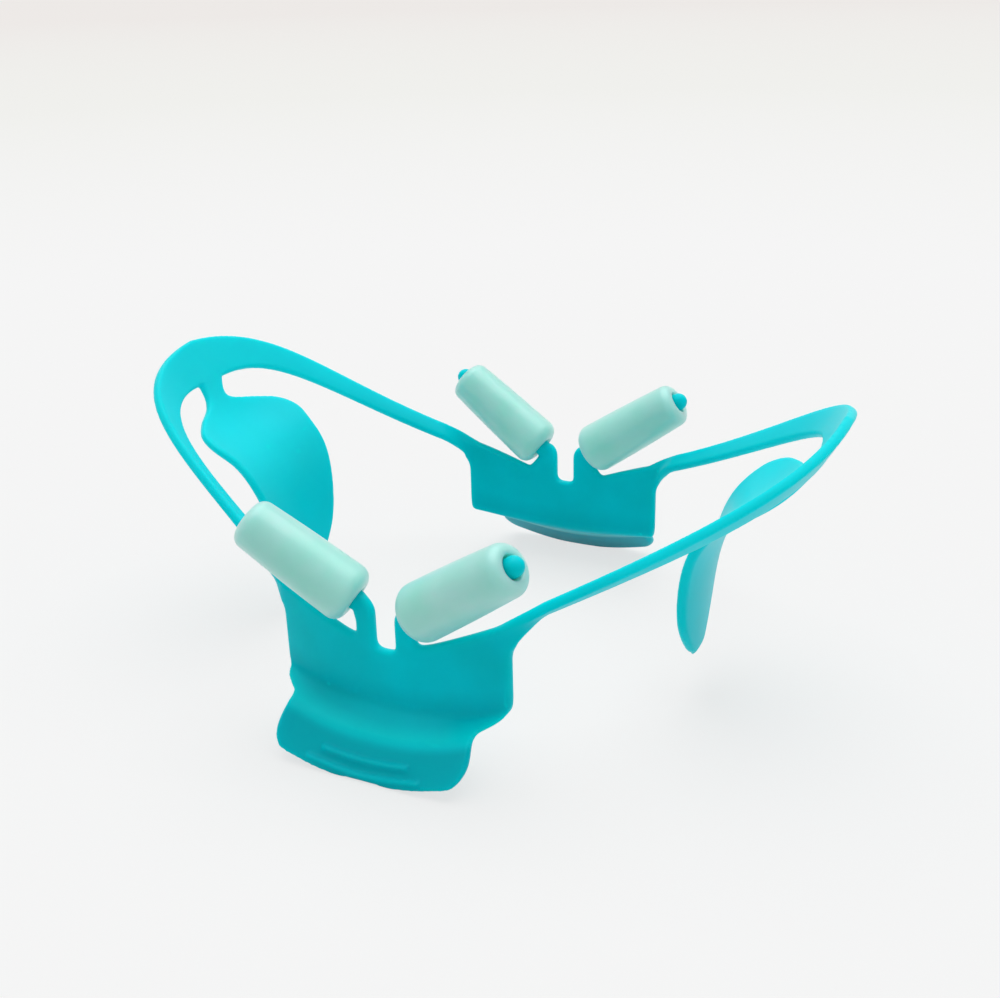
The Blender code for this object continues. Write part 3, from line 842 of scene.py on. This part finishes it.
# %% Sections of a band
def root_sections(steps=26):
    """Sections of the arm from the shield to where it is free, with its fillet."""
    root = Vector((ARM_ROOT[0], shield_y(ARM_ROOT[0]), ARM_ROOT[1]))
    slope = Vector((1.0, -2 * SHIELD_BOW * ARM_ROOT[0], BODY_TOP_SLOPE)).normalized()
    curve = (root, root + slope * ARM_ROOT_LEAD,
             ARM_START - ARM_LEAD.normalized() * ARM_FREE_LEAD, ARM_START)
    fillet_run = ARM_FILLET / math.tan((math.pi / 2 + math.atan(BODY_TOP_SLOPE)) / 2)
    sections = []
    for i in range(steps):
        t = i / steps
        centre = bezier(curve, t)
        up, face = band_directions(bezier_along(curve, t), ARM_FLARE * t * t * (3 - 2 * t))
        past = max((centre - up * (ARM_WIDTH / 2)).x - BODY_HALF_WIDTH, 0.0) / slope.x
        beyond = max(fillet_run - past, 0.0)
        drop = ARM_FILLET - math.sqrt(ARM_FILLET ** 2 - beyond ** 2)
        above = ARM_WIDTH / 2 - ROOT_SINK * (1 - t) ** 2
        sections.append((centre, up, face, above, ARM_WIDTH / 2 + drop))
    return sections


def band_sections(steps=96):
    """Centre, directions and half widths of the band from a shield to the bow tip."""
    sections = root_sections()
    tip = Vector((BOW_REACH, 0.0, BOW_HEIGHT))
    curve = (ARM_START, ARM_START + ARM_LEAD, tip + Vector((0.0, BOW_HANDLE, 0.0)), tip)
    for i in range(steps + 1):
        t = i / steps
        up, face = band_directions(bezier_along(curve, t), ARM_FLARE + (BOW_FLARE - ARM_FLARE) * t)
        half = (ARM_WIDTH + (BOW_WIDTH - ARM_WIDTH) * t ** BOW_WIDTH_GROWTH) / 2
        sections.append((bezier(curve, t), up, face, half, half))
    return sections


def band_ring(section, sx, sy, sides=24):
    """Flat oval ring with full round edges round one section of the band."""
    centre, up, face, above, below = section
    half = BAND_THICKNESS / 2
    ring = []
    for k in range(sides):
        angle = 2 * math.pi * (k + 0.5) / sides
        c, s = math.cos(angle), math.sin(angle)
        run = (above if c > 0 else below) - half * EDGE_RUN
        a = math.copysign(run + half * EDGE_RUN * abs(c), c)
        b = half * math.copysign(abs(s) ** EDGE_POWER, s)
        ring.append(mirrored(centre + up * a + face * b, sx, sy))
    return ring


half_band = band_sections()
for sx in (1, -1):
    near = [band_ring(s, sx, 1) for s in half_band]
    far = [band_ring(s, sx, -1) for s in reversed(half_band[:-1])]
    regions.append(solid(near + far))
print("sections along half a band:", len(half_band))

# %% [markdown]
# ## The cheek blades
#
# A blade hangs from the top of each bow on a short neck, swings down inside it
# and holds the cheek away from the teeth. Its middle line is a cubic curve, its
# half width passes smoothly through a few measured stations, and its edges
# bend in a little, as a spoon's do. The moulding is never quite true: the left
# blade hangs a little to the front and the right one a little to the rear.

# %% Width and middle line of a blade
BLADE_THICKNESS = 1.5 * MM
BLADE_END = Vector((34.8 * MM, 0.0, 5.9 * MM))
BLADE_TOP_HANDLE = 17.0 * MM
BLADE_END_HANDLE = Vector((0.8 * MM, 0.0, 32.0 * MM))
BLADE_NECK_OVERLAP = 1.2 * MM
BLADE_STATIONS = (0.0, 0.07, 0.11, 0.17, 0.25, 0.38, 0.52, 0.70, 0.86, 1.0)
BLADE_HALF_WIDTHS = (3.0, 2.4, 3.2, 7.4, 10.6, 11.9, 11.3, 10.6, 8.8, 5.6)  # mm
BLADE_ROUND_START = 0.90  # share of the length where the round end starts
BLADE_LEAST = 0.3  # width left at the very end, as a share


def blade_half_width(t):
    """Half width of a blade: smooth through its stations, round at its end."""
    xs, ws = BLADE_STATIONS, BLADE_HALF_WIDTHS
    slopes = [0.0]
    slopes += [(ws[i + 1] - ws[i - 1]) / (xs[i + 1] - xs[i - 1]) for i in range(1, len(xs) - 1)]
    slopes.append(slopes[-1])
    i = max(k for k in range(len(xs) - 1) if t >= xs[k])
    step = xs[i + 1] - xs[i]
    f = (t - xs[i]) / step
    width = ws[i] * (1 + 2 * f) * (1 - f) ** 2 + ws[i + 1] * f * f * (3 - 2 * f)
    width += step * (slopes[i] * f * (1 - f) ** 2 + slopes[i + 1] * f * f * (f - 1))
    past = max(t - BLADE_ROUND_START, 0.0) / (1 - BLADE_ROUND_START)
    return width * max(math.sqrt(1 - past * past), BLADE_LEAST) * MM


def blade_curve():
    """The four control points of a blade's side view."""
    centre, up, _, _, below = half_band[-1]
    first = centre - up * (below - BLADE_NECK_OVERLAP)
    return first, first - up * BLADE_TOP_HANDLE, BLADE_END + BLADE_END_HANDLE, BLADE_END


print("a blade is", round(2 * max(BLADE_HALF_WIDTHS), 1), "mm wide at most")

# %% Blades
BLADE_DISH = 1.9 * MM  # how far the edges bend in
BLADE_EDGE = 0.8 * MM  # the sheet gets round over this width
BLADE_EDGE_LEAST = 0.12
BLADE_TIP_RUN = 0.012  # and over this share of its length at the tip
BLADE_SWING = 1.9 * MM  # greatest step aside, below the neck
BLADE_SWING_START = 0.1
END_STEPS = 18


def blade(sx, steps=150, columns=44):
    """Mesh of one blade: closed sections with round edges from the neck to the tip."""
    curve = blade_curve()
    widest = max(BLADE_HALF_WIDTHS) * MM
    stations = [BLADE_ROUND_START * i / steps for i in range(steps)]
    stations += [1 - (1 - BLADE_ROUND_START) * (1 - math.sin(math.radians(90 / END_STEPS * k)))
                 for k in range(END_STEPS)]
    rings = []
    for t in stations:
        along = bezier_along(curve, t)
        outward = Vector((-along.z, 0.0, along.x))
        width = blade_half_width(t)
        thickness = BLADE_THICKNESS / 2 * min(1.0, (1.0 - t) / BLADE_TIP_RUN) ** 0.5
        swing = BLADE_SWING * sx * min(t / BLADE_SWING_START, 1.0) * (1 - t)
        ring = []
        for k in range(2 * columns):
            side = 1 if k < columns else -1
            place = (k % columns) / (columns - 1) * side - (0.0 if side == 1 else -1.0)
            y = width * math.sin(math.pi * (place - 0.5))
            past = max(abs(y) - (width - BLADE_EDGE), 0.0) / BLADE_EDGE
            half = thickness * max(math.sqrt(max(1 - past * past, 0.0)), BLADE_EDGE_LEAST)
            middle = bezier(curve, t) + Vector((0.0, y + swing, 0.0))
            middle -= outward * (BLADE_DISH * (y / widest) ** 2)
            ring.append(mirrored(middle + outward * (half * side), sx, 1))
        rings.append(ring)
    return solid(rings)


regions += [blade(1), blade(-1)]
print("faces of a blade:", len(regions[-1].polygons))

# %% [markdown]
# ## The pegs
#
# A round peg grows out of each tab, passes through its sleeve and ends in a
# dome that stands out of the sleeve's free end. Inside its tab it is flat, so
# that it doesn't show through the sheet.

# %% Pegs
PEG_RADIUS = 1.5 * MM
PEG_SINK = 2.6 * MM  # length of a peg inside its tab
PEG_FLAT = 0.3  # thickness of the sunk end as a share of the peg's
PEG_SUNK_STOPS = ((1.0, 0.55, PEG_FLAT * 0.8), (0.7, 0.9, PEG_FLAT),
                  (0.4, 1.0, (1 + PEG_FLAT) / 2), (0.1, 1.0, 1.0))
PEG_DOME_ANGLES = range(0, 81, 5)  # degrees; the last ring is closed by a small cap
PEG_STAND_OUTS = {(-1, -1): 0.5 * MM, (1, -1): 1.5 * MM, (-1, 1): 1.5 * MM, (1, 1): 1.5 * MM}


def peg(sx, sy, sides=40):
    """Mesh of one peg: flat where it is sunk in its tab, round outside."""
    root, axis, length = sleeve_line(sx, sy)
    u = (Vector((0.0, 1.0, 0.0)) - axis * axis.y).normalized()
    v = axis.cross(u)
    stops = [(-PEG_SINK * share, wide, thick) for share, wide, thick in PEG_SUNK_STOPS]
    free = length + PEG_STAND_OUTS[sx, sy] - PEG_RADIUS
    for angle in map(math.radians, PEG_DOME_ANGLES):
        stops.append((free + PEG_RADIUS * math.sin(angle), math.cos(angle), math.cos(angle)))
    rings = []
    for distance, wide, thick in stops:
        ring = []
        for k in range(sides):
            angle = 2 * math.pi * k / sides
            spoke = u * (math.cos(angle) * thick) + v * (math.sin(angle) * wide)
            ring.append(mirrored(root + axis * distance + spoke * PEG_RADIUS, sx, sy))
        rings.append(ring)
    return solid(rings)


regions += [peg(sx, sy) for sx in (1, -1) for sy in (1, -1)]
peg_length = sleeve_line(1, 1)[2] + PEG_STAND_OUTS[1, 1]
print("a peg is", round(peg_length / MM, 1), "mm long outside its tab")

# %% [markdown]
# ## One moulding
#
# On the real frame no region ends at a seam: the melt runs through all of them
# and every edge is slightly round. Bevels on crossing sheets leave creases, so
# the regions are fused instead. A voxel remesh wraps them all in one even skin,
# and a few rounds of smoothing turn its edges soft. Flat places then need fewer
# faces than the voxels gave them, so a Decimate comes last. Smoothing after it
# would fold its long triangles over.

# %% Fuse the regions into the frame
VOXEL = 0.25 * MM
SMOOTHING = 5
TRIANGLES = 190000

joined = bmesh.new()
for mesh in regions:
    joined.from_mesh(mesh)
fused = new_object("fused", plain_mesh(joined, "moulding"))
remesh = fused.modifiers.new("skin", "REMESH")
remesh.mode = "VOXEL"
remesh.voxel_size = VOXEL
remesh.use_smooth_shade = True
smooth = fused.modifiers.new("soft_edges", "SMOOTH")
smooth.factor = 0.5
smooth.iterations = SMOOTHING
skin = evaluated_mesh(fused)
print("faces of the fused skin:", len(skin.polygons))
thinned = new_object("thinned", skin)
decimate = thinned.modifiers.new("fewer_faces", "DECIMATE")
decimate.ratio = min(1.0, TRIANGLES / (2 * len(skin.polygons)))
retractor_mesh = evaluated_mesh(thinned)
for polygon in retractor_mesh.polygons:
    polygon.use_smooth = True
retractor_mesh.materials.clear()
retractor_mesh.materials.append(plastic)
retractor = new_object("retractor_frame", retractor_mesh)
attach(retractor, "root")
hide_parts("frame")
print("triangles of the frame:", sum(len(f.vertices) - 2 for f in retractor_mesh.polygons))

# %% [markdown]
# ## The bite sleeves
#
# A sleeve is a turned shape, so its rule is short: a section of four corners,
# two rounded large outside and two rounded small at the bore, swept round the
# peg's axis. A sine along its length crowns it slightly. One Geometry Nodes
# tree with named sizes makes all four.

# %% A tree that turns a sleeve
sleeve_tree, port = new_tree("turned_sleeve", {
    "Base": "mesh", "Length": "size", "Root radius": "size", "Free radius": "size",
    "Bore radius": "size", "End round": "size", "Bore round": "size", "Crown": "size",
    "Root": "vector", "Axis": "vector", "Step": "size", "Sides": "count",
    "Material": "material"})
wire = port["Base"]
bore = port["Bore radius"]
length = port["Length"]


def corner(radius, distance):
    """Corner of the section: out from the bore, and back along the axis."""
    return wire.node("ShaderNodeCombineXYZ", inputs={0: radius - bore, 1: 0.0 - distance})


section = wire.node("GeometryNodeCurvePrimitiveQuadrilateral", {"mode": "POINTS"}, {
    "Point 1": corner(bore, 0.0), "Point 2": corner(port["Root radius"], 0.0),
    "Point 3": corner(port["Free radius"], length), "Point 4": corner(bore, length)})
index = wire.node("GeometryNodeInputIndex")
outer = wire.maths("COMPARE", index, 1.5, 0.6)  # corners 1 and 2, counted from 0
rounding = outer * port["End round"] + (1.0 - outer) * port["Bore round"]
soft = section.node("GeometryNodeFilletCurve", {"mode": "POLY"}, {
    "Curve": section, "Count": 8, "Limit Radius": True, "Radius": rounding})
dense = soft.node("GeometryNodeResampleCurve", {"mode": "LENGTH"}, {
    "Curve": soft, "Length": port["Step"]})
spot = wire.node("GeometryNodeInputPosition")
across = wire.node("ShaderNodeSeparateXYZ", inputs={0: spot})
turn = across.beside("Y") / length * -math.pi
bulge = turn.maths("SINE", turn) * port["Crown"] * (across / (port["Root radius"] - bore))
offset = wire.node("ShaderNodeCombineXYZ", inputs={0: bulge})
crowned = dense.node("GeometryNodeSetPosition", inputs={"Geometry": dense, "Offset": offset})
circle = wire.node("GeometryNodeCurvePrimitiveCircle", inputs={
    "Resolution": port["Sides"], "Radius": bore})
turned = circle.node("GeometryNodeCurveToMesh", inputs={"Curve": circle, "Profile Curve": crowned})
lean = wire.node("FunctionNodeAlignRotationToVector", {"axis": "Z"}, {"Vector": port["Axis"]})
placed = turned.node("GeometryNodeTransform", inputs={
    "Geometry": turned, "Translation": port["Root"], "Rotation": lean})
smoothed = placed.node("GeometryNodeSetShadeSmooth", inputs={"Geometry": placed})
end_tree(sleeve_tree, smoothed, port["Material"])
print("nodes in the sleeve tree:", len(sleeve_tree.nodes))

# %% Four sleeves on their pegs
SLEEVE_SIZES = {"Root radius": 4.35 * MM, "Free radius": 3.7 * MM,
                "Bore radius": 1.8 * MM, "End round": 1.9 * MM, "Bore round": 0.45 * MM,
                "Crown": 0.12 * MM, "Step": 0.25 * MM, "Sides": 112, "Material": silicone}

for name, sx, sy in (("front_left", -1, -1), ("front_right", 1, -1),
                     ("rear_left", -1, 1), ("rear_right", 1, 1)):
    root, axis, length = sleeve_line(sx, sy)
    values = dict(SLEEVE_SIZES, Length=length,
                  Root=mirrored(root, sx, sy), Axis=mirrored(axis, sx, sy))
    made = run_tree(sleeve_tree, bpy.data.meshes.new("base"), values)
    bm = bmesh.new()
    bm.from_mesh(made)
    bmesh.ops.remove_doubles(bm, verts=bm.verts, dist=0.001 * MM)
    bmesh.ops.recalc_face_normals(bm, faces=bm.faces)
    bm.to_mesh(made)
    volume = bm.calc_volume()
    bm.free()
    sleeve = new_object("sleeve_" + name, made)
    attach(sleeve, "root")
    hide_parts("bumper_" + name)
    print(sleeve.name, "volume", round(volume * 1e9, 1), "mm3, faces", len(made.polygons))

# %% [markdown]
# ## Floor and light
#
# The photograph is a packshot: a pale table with no edge, a broad soft light
# above, and only faint shadows. One large floor does for table and backdrop.
# The camera sees it almost white, and it keeps the retractor's shadow. The
# light that it sends back to the retractor is set apart, as a greyer colour.

# %% Floor
FLOOR_HALF_WIDTH = 14.0  # metres
FLOOR_FADE = 4.0  # metres over which it changes to its far colour
LIGHT_LEVEL = 1.04  # light that reaches the floor, as a share of white
FLOOR_NEAR = (0.922, 0.922, 0.922, 1.0)
FLOOR_MIDDLE = (0.880, 0.880, 0.855, 1.0)
FLOOR_FAR = (0.855, 0.825, 0.805, 1.0)
FLOOR_BOUNCE = (0.70, 0.70, 0.70, 1.0)
FLOOR_GLOW = 0.75  # share of the seen floor that takes no shadow


def seen_rays(start):
    """1 for what the camera sees, also in a reflection or through a surface."""
    rays = start.node("ShaderNodeLightPath")
    ways = [rays.beside(f"Is {way} Ray") for way in ("Camera", "Glossy", "Transmission")]
    return clamp(ways[0] + ways[1] + ways[2])


floor_material, place, shader = new_material("pale_floor")
seen = seen_rays(place)
span = place.node("ShaderNodeVectorMath", {"operation": "LENGTH"}, {0: place}, output="Value")
mottle = cloud(place, 30 * MM, detail=2.0)
pale = place.node("ShaderNodeValToRGB", {"stops": (
    (0.08, FLOOR_NEAR), (0.24, FLOOR_MIDDLE), (0.75, FLOOR_FAR))}, {"Fac": span / FLOOR_FADE})
level = place.node("ShaderNodeMix", {"data_type": "RGBA", "blend_type": "DIVIDE"}, {
    0: 1.0, 6: pale, 7: (LIGHT_LEVEL, LIGHT_LEVEL, LIGHT_LEVEL, 1.0)}, output=2)
feed(shader, "Base Color", blend(seen, FLOOR_BOUNCE, level))
feed(shader, "Roughness", 0.85 + 0.1 * mottle)
settle(shader, {"Specular IOR Level": 0.1})
glow = place.node("ShaderNodeEmission", inputs={"Color": pale, "Strength": 1.0})
lit = Wire(place.tree, shader.outputs["BSDF"])
surface = place.node("ShaderNodeMixShader", inputs={0: seen * FLOOR_GLOW, 1: lit, 2: glow})
output = floor_material.node_tree.nodes["Material Output"]
feed(output, "Surface", surface)

bm = bmesh.new()
bmesh.ops.create_grid(bm, x_segments=8, y_segments=8, size=FLOOR_HALF_WIDTH)
floor_mesh = plain_mesh(bm, "floor")
floor_mesh.materials.append(floor_material)
floor = new_object("floor", floor_mesh)
print("floor is", 2 * FLOOR_HALF_WIDTH, "m wide")

# %% [markdown]
# A wide sun gives the soft light, from above and a little behind. The even
# world fills the rest.

# %% Light
SUN_SHARE = 0.58
SUN_SPREAD = math.radians(62.0)
SUN_LEAN = (math.radians(-14.0), math.radians(-2.0), 0.0)
WORLD_SHARE = 0.44

sun_data = bpy.data.lights.new("sky_panel", "SUN")
sun_data.energy = math.pi * SUN_SHARE
sun_data.angle = SUN_SPREAD
sun = new_object("sky_panel", sun_data)
sun.rotation_euler = SUN_LEAN

world = bpy.data.worlds.new("studio")
world.use_nodes = True
bpy.context.scene.world = world
start = Wire(world.node_tree)
seen = seen_rays(start)
background = world.node_tree.nodes["Background"]
feed(background, "Color", blend(seen, (WORLD_SHARE, WORLD_SHARE, WORLD_SHARE, 1.0), FLOOR_FAR))
bpy.context.scene.view_settings.view_transform = "Standard"
print("sun", round(sun_data.energy, 2), "world", WORLD_SHARE)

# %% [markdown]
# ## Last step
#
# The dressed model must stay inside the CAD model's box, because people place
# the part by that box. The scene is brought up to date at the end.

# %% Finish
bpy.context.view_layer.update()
